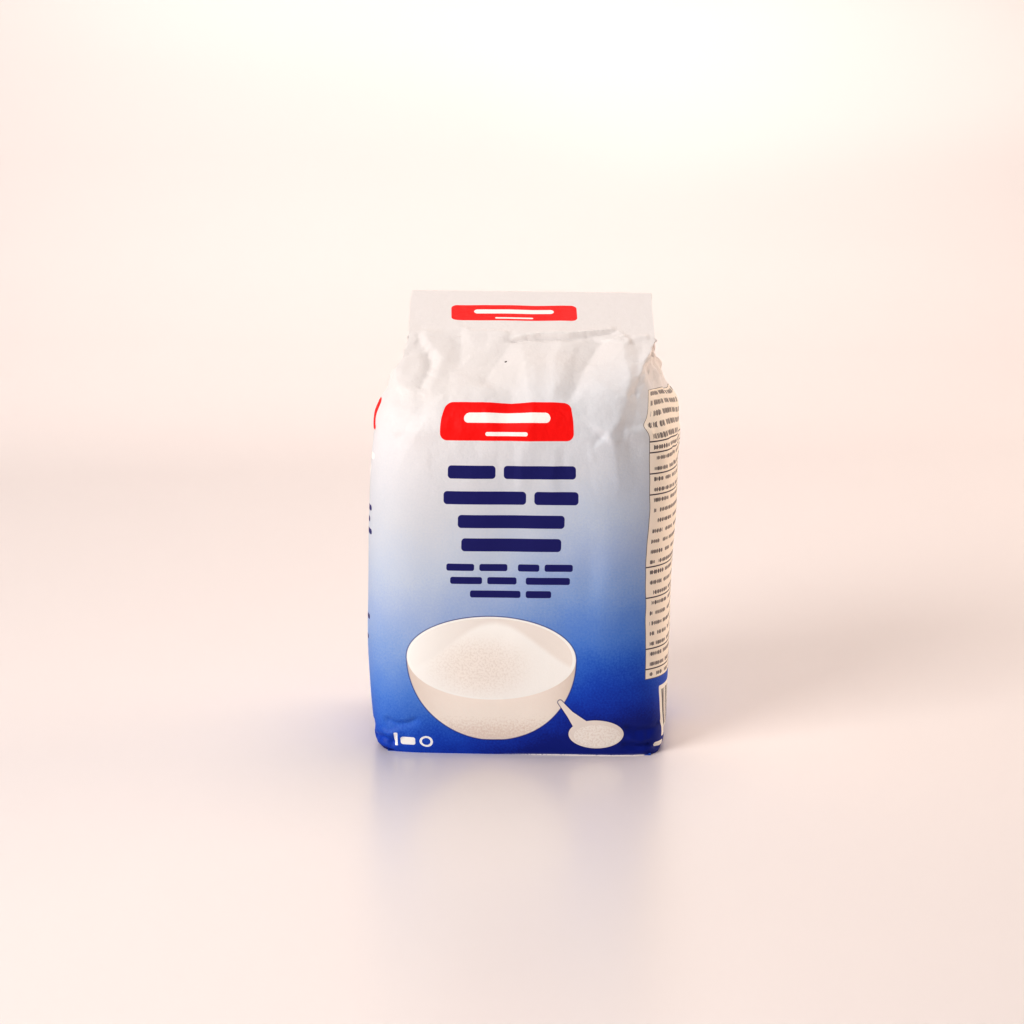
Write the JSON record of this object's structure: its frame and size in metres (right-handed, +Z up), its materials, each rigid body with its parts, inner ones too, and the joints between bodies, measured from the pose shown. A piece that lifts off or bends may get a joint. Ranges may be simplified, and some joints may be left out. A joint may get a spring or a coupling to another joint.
{
  "type": "bag of sugar",
  "caption": "Filled and closed paper bag of granulated sugar, standing on its flat bottom, with a creased shoulder, tucked sides and a flat closing strip leaning back over the top.",
  "frame": {"origin": "middle of the bag's bounding box at the flat bottom it stands on", "axes": "+Z up from the bottom to the closing strip, -Y out of the printed front panel, +X to the right as seen facing the front"},
  "size_m": [0.1162, 0.0786, 0.1637],
  "materials": {
    "printed_paper": "uncoated white paper, printed from pale grey at the top to deep blue at the bottom, lightly satin, creased at the top"
  },
  "bodies": {
    "root": {"sugar_bag": "printed_paper"}
  },
  "joints": []
}
